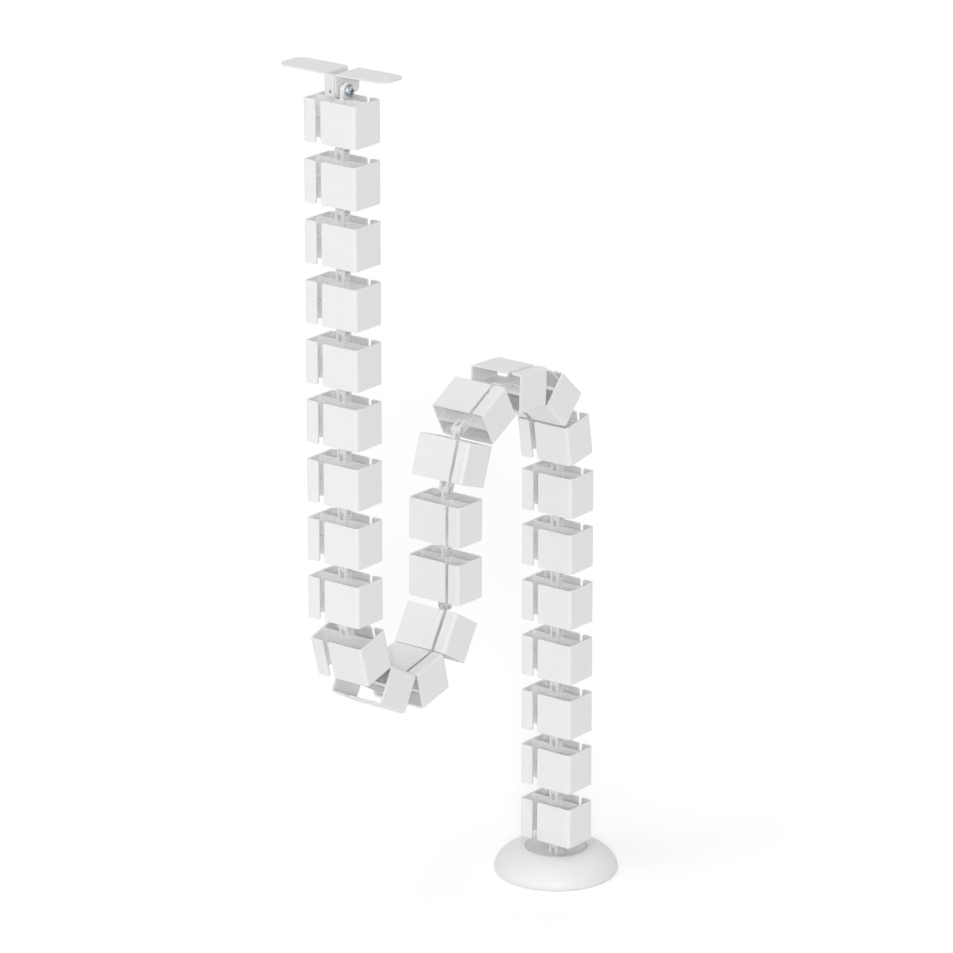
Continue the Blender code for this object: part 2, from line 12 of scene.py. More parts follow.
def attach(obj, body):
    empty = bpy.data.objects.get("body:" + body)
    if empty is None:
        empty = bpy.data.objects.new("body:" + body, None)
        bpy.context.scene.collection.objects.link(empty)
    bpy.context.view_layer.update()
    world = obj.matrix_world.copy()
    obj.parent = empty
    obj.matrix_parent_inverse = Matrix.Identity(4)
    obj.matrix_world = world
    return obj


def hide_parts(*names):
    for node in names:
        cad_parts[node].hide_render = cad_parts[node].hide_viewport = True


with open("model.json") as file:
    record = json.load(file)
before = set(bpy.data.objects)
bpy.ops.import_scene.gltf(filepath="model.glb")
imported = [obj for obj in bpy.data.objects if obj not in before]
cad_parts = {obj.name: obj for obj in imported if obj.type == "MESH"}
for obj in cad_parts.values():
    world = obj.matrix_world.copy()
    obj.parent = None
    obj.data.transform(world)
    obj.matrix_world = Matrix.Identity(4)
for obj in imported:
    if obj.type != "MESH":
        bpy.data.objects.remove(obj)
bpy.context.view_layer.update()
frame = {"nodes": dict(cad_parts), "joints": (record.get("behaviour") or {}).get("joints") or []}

scene = bpy.context.scene
nodes = frame["nodes"]
joints = frame["joints"]

# Sizes are those of the CAD source, apart from RIB_PROUD and TAB_TOP_DROP, which follow the
# photograph. Small roundings, chamfers, tapers, cores and threads are in the looks only.

# Vertebra: its S section, open through one slot in front and one behind
WIDTH = 0.0510
DEPTH = 0.0326
HEIGHT = 0.0339
WALL = 0.0018
CORNER_RADIUS = 0.0030
INNER_RADIUS = 0.0012
FRONT_LIP = 0.0125
FRONT_SLOT = 0.0051
BACK_LIP = 0.0104
BACK_SLOT = 0.0030
SLOT_CORNER_RADIUS = 0.0016
WEB = 0.0020
WEB_AT_HUB = 0.0026
HUB_MARGIN = 0.0004
HUB_FILLET = 0.0020
HUB_CORNER = 0.0006
RIB_HEIGHT = 0.0012
RIB_PROUD = 0.0012
RIB_EDGE = 0.0002
WALL_EDGE = 0.00035

# Snap hinge
STOP_BEND = radians(46.8)
FORK_OFFSET = -0.0004
FORK_GAP = 0.0034
LEFT_EAR = 0.0022
RIGHT_EAR = 0.0031
EAR_RADIUS = 0.0042
PIN_RADIUS = 0.0023
PIN_SETBACK = 0.0003
PIN_CORE_RADIUS = 0.0013
PIN_CORE_DEPTH = 0.0034
PIN_EDGE = 0.0003
CLEARANCE = 0.0003
EAR_EDGE = 0.0003
TONGUE_EDGE = 0.00025

# Desk bracket, folded from sheet
HINGE_DROP = 0.0130
SHEET = 0.0015
BEND_RADIUS = 0.0020
PLATE_DEPTH = 0.0280
PLATE_FRONT = 0.0070
PLATE_REACH = 0.0475
PLATE_CORNER_RADIUS = 0.0090
FLANGE_DROP = 0.0184
FLANGE_CORNER_RADIUS = 0.0035
DESK_HOLE_RADIUS = 0.0021
DESK_HOLE_EDGE = 0.0096
TAB_WIDTH = 0.0091
TAB_TOP_DROP = 0.0006
FOLD_ROOM_DROP = 0.0022
TAB_CORNER_RADIUS = 0.0025
TAB_HOLE_RADIUS = 0.0013
TAB_HOLE_EDGE = 0.0043
TAB_HOLE_DROP = 0.0146
SHEET_EDGE = 0.00025

# Bracket screw and what is threaded on it
SCREW_LENGTH = 0.0200
HEAD_RADIUS = 0.0050
HEAD_HEIGHT = 0.0031
RECESS_REACH = 0.0024
RECESS_FLOOR_REACH = 0.0009
RECESS_WIDTH = 0.0011
RECESS_DEPTH = 0.0016
RECESS_MOUTH_SPREAD = 1.6
RECESS_MARGIN = 0.0001
RECESS_WALL_LEAN = 0.75
RECESS_FLOOR_LEAN = 0.5
HEAD_LIP = 0.0002
THREAD_PITCH = 0.0008
THREAD_DEPTH = 0.00035
WASHER_RADIUS = 0.0067
WASHER_HEIGHT = 0.0022
WASHER_EDGE = 0.0009
SPACER_RADIUS = 0.0042
SPACER_EDGE = 0.0003
NUT_ACROSS_FLATS = 0.0080
NUT_HEIGHT = 0.0032
NUT_CHAMFER_RISE = 2 * tan(radians(30))

# Foot: a domed shell over a steel weight, on a rubber pad
FOOT_RADIUS = 0.0518
FOOT_HEIGHT = 0.0216
FOOT_TURN_IN = 0.0016
FOOT_WIDEST_HEIGHT = 0.0030
DOME_FULLNESS = 1.25
RIM_RADIUS = 0.0257
RIM_BELOW_HINGE = 0.0002
RIM_ROUND = 0.0012
BOWL_FLOOR_RADIUS = 0.0130
SHELL_WALL = 0.0025
WEIGHT_RADIUS = FOOT_RADIUS - 0.0115
WEIGHT_HEIGHT = 0.0090
PAD_HEIGHT = 0.0015
PAD_PROUD = 0.0005
FOOT_SCREWS = 3
FOOT_SCREW_CIRCLE = WEIGHT_RADIUS - 0.0110
FOOT_SCREW_RADIUS = 0.0016
FOOT_SCREW_HEAD_RADIUS = 0.0032
FOOT_SCREW_HEAD_HEIGHT = 0.0018
FOOT_RECESS_SCALE = 0.6
WEIGHT_EDGE = 0.0004
PAD_EDGE = 0.0003

# Overlap of pieces before they are joined or cut, distance at which corners are one, rounding error
EMBED = 0.0010
WELD = 0.00001
TINY = 0.000001

# Facets on the arcs of outlines
CORNER_STEPS = 8
FILLET_STEPS = 5
HUB_CORNER_STEPS = 3
SLOT_CORNER_STEPS = 6
WALL_EDGE_STEPS = 3
HINGE_STEPS = 28
BEND_STEPS = 12
INNER_BEND_STEPS = 6
PLATE_CORNER_STEPS = 24
EDGE_STEPS = 4
HOLE_STEPS = 64
HEAD_STEPS = 18
RIM_STEPS = 8
BOWL_STEPS = 16
DOME_STEPS = 36
TURN_IN_STEPS = 8

# Facets once round the turned pieces
RING_TURNS = 96
NUT_TURNS = 72
THREAD_TURNS = 40
RECESS_TURNS = 32
DOME_TURNS = 160
DISC_TURNS = 128
FOOT_HOLE_TURNS = 32
FOOT_SINK_TURNS = 48
FOOT_THREAD_TURNS = 28

# Rows of a thread's grid within one pitch
THREAD_ROWS = 8

# Angles in degrees: above these an edge stays sharp, and above the last a wall's edge is rounded
LINK_SHARP = 38
PLATE_SHARP = 40
TURNED_SHARP = 30
RIM_SHARP = 50

# Worked out from the sizes above
END_CLEAR = DEPTH / 2 * tan(STOP_BEND / 2)
PITCH = HEIGHT + 2 * END_CLEAR
TOP = -END_CLEAR
BOTTOM = -END_CLEAR - HEIGHT
GAP_LEFT = FORK_OFFSET - FORK_GAP / 2
GAP_RIGHT = FORK_OFFSET + FORK_GAP / 2
FORK_LEFT = GAP_LEFT - LEFT_EAR
FORK_RIGHT = GAP_RIGHT + RIGHT_EAR
TONGUE = FORK_GAP - 2 * CLEARANCE
HOLE_RADIUS = PIN_RADIUS + CLEARANCE
HUB_HALF_DEPTH = EAR_RADIUS + HUB_MARGIN
FRONT_SLOT_LEFT = -WIDTH / 2 + FRONT_LIP
FRONT_SLOT_RIGHT = FRONT_SLOT_LEFT + FRONT_SLOT
BACK_SLOT_RIGHT = WIDTH / 2 - BACK_LIP
BACK_SLOT_LEFT = BACK_SLOT_RIGHT - BACK_SLOT
SLOT_ENDS = (FRONT_SLOT_LEFT, FRONT_SLOT_RIGHT, BACK_SLOT_LEFT, BACK_SLOT_RIGHT)
RIGHT_FLANGE = FORK_OFFSET - SHEET / 2
LEFT_FLANGE = RIGHT_FLANGE - CLEARANCE - TAB_WIDTH

# Planes in which an outline is drawn: its own x and y, then the way it is extruded
XY = Matrix.Identity(4)
YZ = Matrix(((0, 0, 1, 0), (1, 0, 0, 0), (0, 1, 0, 0), (0, 0, 0, 1)))
XZ = Matrix(((1, 0, 0, 0), (0, 0, -1, 0), (0, 1, 0, 0), (0, 0, 0, 1)))


# Materials
def material(name, color, roughness, metallic=0.0, **sockets):
    """New material with constant values on its shader; sockets are named with _ for a space."""
    made = bpy.data.materials.new(name)
    made.use_nodes = True
    shader = made.node_tree.nodes["Principled BSDF"]
    shader.inputs["Base Color"].default_value = (*color, 1.0)
    shader.inputs["Roughness"].default_value = roughness
    shader.inputs["Metallic"].default_value = metallic
    for socket, value in sockets.items():
        shader.inputs[socket.replace("_", " ")].default_value = value
    return made, made.node_tree, shader


def object_coords(tree):
    return tree.nodes.new("ShaderNodeTexCoord").outputs["Object"]


def noise(tree, coords, scale, detail, rough):
    texture = tree.nodes.new("ShaderNodeTexNoise")
    texture.inputs["Scale"].default_value = scale
    texture.inputs["Detail"].default_value = detail
    texture.inputs["Roughness"].default_value = rough
    tree.links.new(coords, texture.inputs["Vector"])
    return texture


def remap(tree, source, low, high, start=0.35, end=0.65):
    """The middle of a noise's range spread from low to high."""
    node = tree.nodes.new("ShaderNodeMapRange")
    node.inputs["From Min"].default_value = start
    node.inputs["From Max"].default_value = end
    node.inputs["To Min"].default_value = low
    node.inputs["To Max"].default_value = high
    tree.links.new(source, node.inputs["Value"])
    return node.outputs["Result"]


def clouded(tree, source, color, darkest, start=0.3, end=0.7):
    """The colour clouded by a noise, at its darkest this share of itself."""
    ramp = tree.nodes.new("ShaderNodeValToRGB")
    ramp.color_ramp.elements[0].position = start
    ramp.color_ramp.elements[0].color = (*[c * darkest for c in color], 1)
    ramp.color_ramp.elements[1].position = end
    ramp.color_ramp.elements[1].color = (*color, 1)
    tree.links.new(source, ramp.inputs["Fac"])
    return ramp.outputs["Color"]


def bump(tree, shader, height, strength, distance):
    node = tree.nodes.new("ShaderNodeBump")
    node.inputs["Strength"].default_value = strength
    node.inputs["Distance"].default_value = distance
    tree.links.new(height, node.inputs["Height"])
    tree.links.new(node.outputs["Normal"], shader.inputs["Normal"])


# How far light runs inside the moulded plastic, and how much of it does
LIGHT_DEPTH = 0.0012
TRANSLUCENCY = 0.15


def moulded_white(name, color, roughness, grain):
    """Satin moulded plastic: a spark-eroded grain, and gloss that varies a little."""
    made, tree, shader = material(
        name, color, roughness, IOR=1.49, Subsurface_Weight=TRANSLUCENCY,
        Subsurface_Scale=LIGHT_DEPTH, Subsurface_Radius=(1.0, 1.0, 1.0),
    )
    coords = object_coords(tree)
    broad = noise(tree, coords, scale=60, detail=3, rough=0.6)
    fine = noise(tree, coords, scale=grain, detail=3, rough=0.65)
    tone = clouded(tree, broad.outputs["Fac"], color, darkest=0.985)
    gloss = remap(tree, broad.outputs["Fac"], roughness - 0.04, roughness + 0.05)
    tree.links.new(tone, shader.inputs["Base Color"])
    tree.links.new(gloss, shader.inputs["Roughness"])
    bump(tree, shader, fine.outputs["Fac"], strength=0.35, distance=0.00003)
    return made


def powder_coat(name, color, roughness):
    """Powder coat on sheet: a fine orange-peel under a satin gloss."""
    made, tree, shader = material(name, color, roughness, IOR=1.5)
    coords = object_coords(tree)
    peel = noise(tree, coords, scale=900, detail=2, rough=0.5)
    broad = noise(tree, coords, scale=90, detail=2, rough=0.5)
    tone = clouded(tree, broad.outputs["Fac"], color, darkest=0.985)
    gloss = remap(tree, broad.outputs["Fac"], roughness - 0.04, roughness + 0.06)
    tree.links.new(tone, shader.inputs["Base Color"])
    tree.links.new(gloss, shader.inputs["Roughness"])
    bump(tree, shader, peel.outputs["Fac"], strength=0.4, distance=0.00006)
    return made


def plated(name, color, roughness):
    """Plated or bare steel: fine clouding in gloss and tone."""
    made, tree, shader = material(name, color, roughness, metallic=1.0)
    cloud = noise(tree, object_coords(tree), scale=700, detail=4, rough=0.6)
    tone = clouded(tree, cloud.outputs["Fac"], color, darkest=0.86)
    gloss = remap(tree, cloud.outputs["Fac"], roughness - 0.06, roughness + 0.10)
    tree.links.new(tone, shader.inputs["Base Color"])
    tree.links.new(gloss, shader.inputs["Roughness"])
    bump(tree, shader, cloud.outputs["Fac"], strength=0.25, distance=0.00004)
    return made


def rubber(name, color, roughness):
    """Matt rubber with a fine tooth."""
    made, tree, shader = material(name, color, roughness)
    fine = noise(tree, object_coords(tree), scale=1500, detail=3, rough=0.6)
    gloss = remap(tree, fine.outputs["Fac"], roughness - 0.07, roughness + 0.10)
    tree.links.new(gloss, shader.inputs["Roughness"])
    bump(tree, shader, fine.outputs["Fac"], strength=0.5, distance=0.0001)
    return made


WHITE = moulded_white("white_moulded_plastic", (0.94, 0.94, 0.942), roughness=0.40, grain=1800)
FOOT_WHITE = moulded_white("white_foot_plastic", (0.935, 0.935, 0.937), roughness=0.36, grain=1400)
PAINT = powder_coat("white_powder_coat", (0.88, 0.88, 0.884), roughness=0.36)
ZINC = plated("zinc_plate", (0.50, 0.57, 0.62), roughness=0.12)
# Near-black zinc that paints the shade inside the screw's cross recess
PAINTED_RECESS_SHADE = plated("zinc_painted_recess_shade", (0.03, 0.035, 0.04), roughness=0.40)
STEEL = plated("weight_steel", (0.32, 0.32, 0.33), roughness=0.50)
RUBBER = rubber("pad_rubber", (0.035, 0.035, 0.036), roughness=0.75)


# Mesh helpers
def arc(centre, radius, start, end, steps):
    """Points of an arc between two angles in degrees, both ends included."""
    angles = (radians(start + (end - start) * i / steps) for i in range(steps + 1))
    return [(centre[0] + radius * cos(a), centre[1] + radius * sin(a)) for a in angles]


def new_object(name, data):
    """New object in the scene that shows this mesh, curve, camera or lamp."""
    made = bpy.data.objects.new(name, data)
    scene.collection.objects.link(made)
    return made


def prism_mesh(outline, low, high):
    """Closed prism on one outline, with whole faces at both ends."""
    work = bmesh.new()
    bottom = [work.verts.new((x, y, low)) for x, y in outline]
    top = [work.verts.new((x, y, high)) for x, y in outline]
    work.faces.new(bottom)
    work.faces.new(top)
    for here in range(len(outline)):
        there = (here + 1) % len(outline)
        work.faces.new((bottom[here], bottom[there], top[there], top[here]))
    bmesh.ops.recalc_face_normals(work, faces=work.faces)
    return work


def rounded_prism(name, outlines, low, high, plane, edge, resolution=2):
    """Prism from a filled 2D curve whose rims are rounded by edge; inner outlines are holes."""
    curve = bpy.data.curves.new(name, "CURVE")
    curve.dimensions = "2D"
    curve.fill_mode = "BOTH"
    curve.extrude = (high - low) / 2 - edge
    curve.bevel_depth = edge
    curve.bevel_resolution = resolution
    curve.offset = -edge
    for outline in outlines:
        spline = curve.splines.new("POLY")
        spline.points.add(len(outline) - 1)
        for point, (x, y) in zip(spline.points, outline):
            point.co = (x, y, 0, 1)
        spline.use_cyclic_u = True
    drawn = new_object(name + "_outline", curve)
    bpy.context.view_layer.update()
    shaped = drawn.evaluated_get(bpy.context.evaluated_depsgraph_get())
    mesh = bpy.data.meshes.new_from_object(shaped)
    bpy.data.objects.remove(drawn)
    work = bmesh.new()
    work.from_mesh(mesh)
    bmesh.ops.remove_doubles(work, verts=work.verts, dist=WELD)
    bmesh.ops.translate(work, vec=(0, 0, (low + high) / 2), verts=work.verts)
    bmesh.ops.transform(work, matrix=plane, verts=work.verts)
    bmesh.ops.recalc_face_normals(work, faces=work.faces)
    work.to_mesh(mesh)
    work.free()
    return new_object(name, mesh)


def lathe(name, profile, steps):
    """Turned solid from (radius, height) points, top to bottom on the outside."""
    mesh = bpy.data.meshes.new(name)
    points = [(radius, 0, height) for radius, height in profile]
    lines = [(number, number + 1) for number in range(len(profile) - 1)]
    mesh.from_pydata(points, lines, [])
    made = new_object(name, mesh)
    turn = made.modifiers.new("Turn", "SCREW")
    turn.steps = steps
    turn.render_steps = steps
    turn.use_merge_vertices = True
    turn.merge_threshold = WELD
    bake(made)
    return made


def bake(target):
    """Apply the target's modifiers."""
    bpy.context.view_layer.update()
    shaped = target.evaluated_get(bpy.context.evaluated_depsgraph_get())
    mesh = bpy.data.meshes.new_from_object(shaped)
    target.modifiers.clear()
    target.data = mesh


def combine(target, tool, operation):
    """Boolean of the target with a tool, which is used up."""
    change = target.modifiers.new(operation.title(), "BOOLEAN")
    change.operation = operation
    change.solver = "EXACT"
    change.object = tool
    bake(target)
    bpy.data.objects.remove(tool)


def soften(target, width, segments=2, angle=35, flat=0.3):
    """Round edges sharper than angle by width, once faces within flat degrees are one."""
    tidy = bmesh.new()
    tidy.from_mesh(target.data)
    bmesh.ops.remove_doubles(tidy, verts=tidy.verts, dist=WELD)
    bmesh.ops.dissolve_limit(tidy, angle_limit=radians(flat), verts=tidy.verts, edges=tidy.edges)
    tidy.to_mesh(target.data)
    tidy.free()
    edge = target.modifiers.new("Edge", "BEVEL")
    edge.width = width
    edge.segments = segments
    edge.limit_method = "ANGLE"
    edge.angle_limit = radians(angle)
    edge.harden_normals = False
    edge.use_clamp_overlap = True
    bake(target)


def polish(target, look, angle):
    """Shade smooth with true flats: normals weighted by area, sharp edges kept."""
    target.data.shade_smooth()
    target.data.set_sharp_from_angle(angle=radians(angle))
    flats = target.modifiers.new("Flats", "WEIGHTED_NORMAL")
    flats.keep_sharp = True
    bake(target)
    target.data.materials.clear()
    target.data.materials.append(look)
    return target


def join(target, *tools):
    for tool in tools:
        combine(target, tool, "UNION")


def cut(target, *tools):
    for tool in tools:
        combine(target, tool, "DIFFERENCE")


def prism(name, outline, low, high, plane):
    """Sharp-edged prism across a plane."""
    work = prism_mesh(outline, low, high)
    bmesh.ops.transform(work, matrix=plane, verts=work.verts)
    bmesh.ops.recalc_face_normals(work, faces=work.faces)
    mesh = bpy.data.meshes.new(name)
    work.to_mesh(mesh)
    work.free()
    return new_object(name, mesh)


def rod(name, centre, radius, low, high, plane, steps=HOLE_STEPS):
    """Straight round bar across a plane."""
    return prism(name, arc(centre, radius, 0, 360, steps)[:-1], low, high, plane)


def block(name, low, high):
    """Box between two opposite corners."""
    outline = [(low[0], low[1]), (high[0], low[1]), (high[0], high[1]), (low[0], high[1])]
    return prism(name, outline, low[2], high[2], XY)


def place(piece, node, body):
    """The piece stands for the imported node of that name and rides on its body."""
    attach(piece, body)
    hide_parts(node)


# The vertebra
def section_outline():
    """The S section as one loop: two slots open its two compartments."""
    half_w = WIDTH / 2
    half_d = DEPTH / 2
    in_w = half_w - WALL
    in_d = half_d - WALL
    web = WEB / 2
    root = WEB_AT_HUB / 2
    outer = CORNER_RADIUS
    inner = INNER_RADIUS
    fillet = HUB_FILLET
    corner = HUB_CORNER
    steps = CORNER_STEPS
    fine = FILLET_STEPS
    hub_l = FORK_LEFT - HUB_MARGIN
    hub_r = FORK_RIGHT + HUB_MARGIN
    loop = [(FRONT_SLOT_RIGHT, -half_d)]
    loop += arc((half_w - outer, -half_d + outer), outer, -90, 0, steps)
    loop += arc((half_w - outer, half_d - outer), outer, 0, 90, steps)
    loop += [(BACK_SLOT_RIGHT, half_d), (BACK_SLOT_RIGHT, in_d)]
    loop += arc((in_w - inner, in_d - inner), inner, 90, 0, fine)
    loop += arc((in_w - inner, web + inner), inner, 0, -90, fine)
    loop += arc((hub_r + fillet, root + fillet), fillet, 270, 180, fine)
    loop += arc((hub_r - corner, HUB_HALF_DEPTH - corner), corner, 0, 90, HUB_CORNER_STEPS)
    loop += arc((hub_l + corner, HUB_HALF_DEPTH - corner), corner, 90, 180, HUB_CORNER_STEPS)
    loop += arc((hub_l - fillet, root + fillet), fillet, 0, -90, fine)
    loop += arc((-in_w + inner, web + inner), inner, 270, 180, fine)
    loop += arc((-in_w + inner, in_d - inner), inner, 180, 90, fine)
    loop += [(BACK_SLOT_LEFT, in_d), (BACK_SLOT_LEFT, half_d)]
    loop += arc((-half_w + outer, half_d - outer), outer, 90, 180, steps)
    loop += arc((-half_w + outer, -half_d + outer), outer, 180, 270, steps)
    loop += [(FRONT_SLOT_LEFT, -half_d), (FRONT_SLOT_LEFT, -in_d)]
    loop += arc((-in_w + inner, -in_d + inner), inner, 270, 180, fine)
    loop += arc((-in_w + inner, -web - inner), inner, 180, 90, fine)
    loop += arc((hub_l - fillet, -root - fillet), fillet, 90, 0, fine)
    loop += arc((hub_l + corner, -HUB_HALF_DEPTH + corner), corner, 180, 270, HUB_CORNER_STEPS)
    loop += arc((hub_r - corner, -HUB_HALF_DEPTH + corner), corner, 270, 360, HUB_CORNER_STEPS)
    loop += arc((hub_r + fillet, -root - fillet), fillet, 180, 90, fine)
    loop += arc((in_w - inner, -web - inner), inner, 90, 0, fine)
    loop += arc((in_w - inner, -in_d + inner), inner, 0, -90, fine)
    loop += [(FRONT_SLOT_RIGHT, -in_d)]
    return loop


def slot_edges(work):
    """Edges across a wall's thickness where a slot meets the top or the bottom."""
    found = []
    for edge in work.edges:
        a = edge.verts[0].co
        b = edge.verts[1].co
        level = abs(a.z - b.z) < TINY and min(abs(a.z - TOP), abs(a.z - BOTTOM)) < TINY
        across = abs(a.x - b.x) < TINY and abs(abs(a.y - b.y) - WALL) < WELD
        if level and across and min(abs(a.x - x) for x in SLOT_ENDS) < TINY:
            found.append(edge)
    return found


def rim_edges(work):
    """The walls' sharp edges."""
    closed = [e for e in work.edges if len(e.link_faces) == 2]
    return [e for e in closed if e.calc_face_angle(0) > radians(RIM_SHARP)]


def vertebra_body():
    """Walls, lips, web and hub, with rounded slot corners and rims."""
    work = prism_mesh(section_outline(), BOTTOM, TOP)
    bmesh.ops.bevel(
        work, geom=slot_edges(work), offset=SLOT_CORNER_RADIUS, segments=SLOT_CORNER_STEPS,
        profile=0.5, affect="EDGES", clamp_overlap=False,
    )
    work.normal_update()
    bmesh.ops.bevel(
        work, geom=rim_edges(work), offset=WALL_EDGE, segments=WALL_EDGE_STEPS,
        profile=0.5, affect="EDGES", clamp_overlap=False,
    )
    bmesh.ops.recalc_face_normals(work, faces=work.faces)
    mesh = bpy.data.meshes.new("vertebra_walls")
    work.to_mesh(mesh)
    work.free()
    return new_object("vertebra_walls", mesh)


def rib(name, side):
    """Rib at half height: in front and left of the hub (side -1), or behind and right (1)."""
    middle = (TOP + BOTTOM) / 2
    low = middle - RIB_HEIGHT / 2
    high = middle + RIB_HEIGHT / 2
    left_end = -WIDTH / 2 + WALL / 2
    right_end = WIDTH / 2 - WALL / 2
    ends = (left_end, FORK_LEFT) if side < 0 else (FORK_RIGHT, right_end)
    near, far = sorted((side * WEB / 4, side * (WEB / 2 + RIB_PROUD)))
    outline = [(ends[0], near), (ends[1], near), (ends[1], far), (ends[0], far)]
    return rounded_prism(name, [outline], low, high, XY, RIB_EDGE, resolution=1)


def ear(name, left, right, root):
    """One ear of a fork, with the hole for the hinge pin."""
    outline = [(-EAR_RADIUS, root), (EAR_RADIUS, root)]
    outline += arc((0, 0), EAR_RADIUS, 0, 180, HINGE_STEPS)
    hole = arc((0, 0), HOLE_RADIUS, 0, 360, HINGE_STEPS)[:-1]
    return rounded_prism(name, [outline, hole], left, right, YZ, EAR_EDGE)


def fork(root):
    """The two ears that take a tongue between them, about the origin's X axis."""
    return (
        ear("ear_left", FORK_LEFT, GAP_LEFT, root),
        ear("ear_right", GAP_RIGHT, FORK_RIGHT, root),
    )


def tongue():
    """Tongue at the lower end, round about the next hinge's axis."""
    radius = EAR_RADIUS - CLEARANCE
    root = BOTTOM + EMBED
    outline = [(radius, root), (-radius, root)]
    outline += arc((0, -PITCH), radius, 180, 360, HINGE_STEPS)
    left = FORK_OFFSET - TONGUE / 2
    return rounded_prism("tongue", [outline], left, left + TONGUE, YZ, TONGUE_EDGE)


def hinge_pin():
    """Pin through the tongue, cored at both ends as moulded pins are."""
    low = FORK_LEFT + PIN_SETBACK
    high = FORK_RIGHT - PIN_SETBACK
    rim = PIN_RADIUS - PIN_EDGE
    core = PIN_CORE_RADIUS
    deep = PIN_CORE_DEPTH
    profile = [(0, high - deep), (core, high - deep), (core, high), (rim, high)]
    profile += [(PIN_RADIUS, high - PIN_EDGE), (PIN_RADIUS, low + PIN_EDGE)]
    profile += [(rim, low), (core, low), (core, low + deep), (0, low + deep)]
    pin = lathe("pin", profile, HINGE_STEPS)
    pin.data.transform(Matrix.Rotation(pi / 2, 4, "Y"))
    pin.data.transform(Matrix.Translation((0, 0, -PITCH)))
    return pin


def vertebra():
    """The whole moulding about its upper hinge's axis."""
    body = vertebra_body()
    join(body, rib("rib_front", -1), rib("rib_back", 1), *fork(TOP - EMBED), tongue(), hinge_pin())
    return polish(body, WHITE, LINK_SHARP)


def build_links():
    """All the links from one mesh, each hung from its hinge towards the next."""
    pattern = vertebra()
    mesh = pattern.data
    bpy.data.objects.remove(pattern)
    places = [Vector(j["pos_m"]) for j in joints]
    for number, (here, there) in enumerate(zip(places, places[1:]), start=1):
        link = new_object("link_%02d_shell" % number, mesh)
        link.location = here
        link.rotation_euler.x = atan2(there.y - here.y, here.z - there.z)
        place(link, "vertebra_%02d" % number, "link_%02d" % number)


# The desk bracket
def angle_section():
    """Section of an angle plate in X and Z, its flange along X = 0 and its arm to +X."""
    centre = (BEND_RADIUS, -BEND_RADIUS)
    outline = [(0, -FLANGE_DROP), (SHEET, -FLANGE_DROP)]
    outline += arc(centre, BEND_RADIUS - SHEET, 180, 90, INNER_BEND_STEPS)
    outline += [(PLATE_REACH, -SHEET), (PLATE_REACH, 0)]
    outline += arc(centre, BEND_RADIUS, 90, 180, BEND_STEPS)
    return outline


def arm_trim():
    """What is cut off the arm's end to round its two corners."""
    radius = PLATE_CORNER_RADIUS
    front = -PLATE_FRONT
    back = PLATE_DEPTH - PLATE_FRONT
    start = PLATE_REACH - radius
    outline = [(start, front - EMBED), (PLATE_REACH + EMBED, front - EMBED)]
    outline += [(PLATE_REACH + EMBED, back + EMBED), (start, back + EMBED)]
    outline += arc((start, back - radius), radius, 90, 0, PLATE_CORNER_STEPS)
    outline += arc((start, front + radius), radius, 0, -90, PLATE_CORNER_STEPS)
    return prism("arm_trim", outline, -SHEET - EMBED, EMBED, XY)


def flange_trim():
    """What is cut off the flange's lower edge to round its two corners."""
    radius = FLANGE_CORNER_RADIUS
    front = -PLATE_FRONT
    back = PLATE_DEPTH - PLATE_FRONT
    bottom = -FLANGE_DROP
    outline = [(front - EMBED, bottom + radius), (front - EMBED, bottom - EMBED)]
    outline += [(back + EMBED, bottom - EMBED), (back + EMBED, bottom + radius)]
    outline += arc((back - radius, bottom + radius), radius, 0, -90, BEND_STEPS)
    outline += arc((front + radius, bottom + radius), radius, 270, 180, BEND_STEPS)
    return prism("flange_trim", outline, -EMBED, SHEET + EMBED, YZ)


def angle_plate(name):
    """One plate, its flange's inner face at X = 0 and its arm to +X."""
    back = PLATE_DEPTH - PLATE_FRONT
    plate = prism(name, angle_section(), -back, PLATE_FRONT, XZ)
    hole_at = (PLATE_REACH - DESK_HOLE_EDGE, PLATE_DEPTH / 2 - PLATE_FRONT)
    cut(
        plate,
        arm_trim(),
        flange_trim(),
        rod("desk_hole", hole_at, DESK_HOLE_RADIUS, -SHEET - EMBED, EMBED, XY),
        rod("screw_hole", (0, -HINGE_DROP), HOLE_RADIUS, -EMBED, SHEET + EMBED, YZ),
    )
    return plate


def front_tab():
    """Tab folded from the flange's front edge, drawn before the plate is mirrored."""
    front = -PLATE_FRONT
    start = front + BEND_RADIUS
    turn_at = (SHEET - BEND_RADIUS, start)
    fold = [(0, start + EMBED), (SHEET, start + EMBED)]
    fold += arc(turn_at, BEND_RADIUS, 0, -90, BEND_STEPS)
    fold += [(-TAB_WIDTH, front), (-TAB_WIDTH, front + SHEET)]
    fold += arc(turn_at, BEND_RADIUS - SHEET, -90, 0, INNER_BEND_STEPS)
    tab = prism("tab", fold, -FLANGE_DROP, -TAB_TOP_DROP, XY)
    radius = TAB_CORNER_RADIUS
    corner = (SHEET - radius, -FLANGE_DROP + radius)
    trim = [(SHEET + EMBED, -FLANGE_DROP - EMBED), (SHEET + EMBED, corner[1])]
    trim += arc(corner, radius, 0, -90, BEND_STEPS)
    trim += [(corner[0], -FLANGE_DROP - EMBED)]
    tab_back = PLATE_FRONT - SHEET
    hole_at = (-TAB_WIDTH + TAB_HOLE_EDGE, -TAB_HOLE_DROP)
    cut(
        tab,
        prism("tab_trim", trim, tab_back - EMBED, PLATE_FRONT + EMBED, XZ),
        rod("tab_hole", hole_at, TAB_HOLE_RADIUS, tab_back - EMBED, PLATE_FRONT + EMBED, XZ),
    )
    return tab


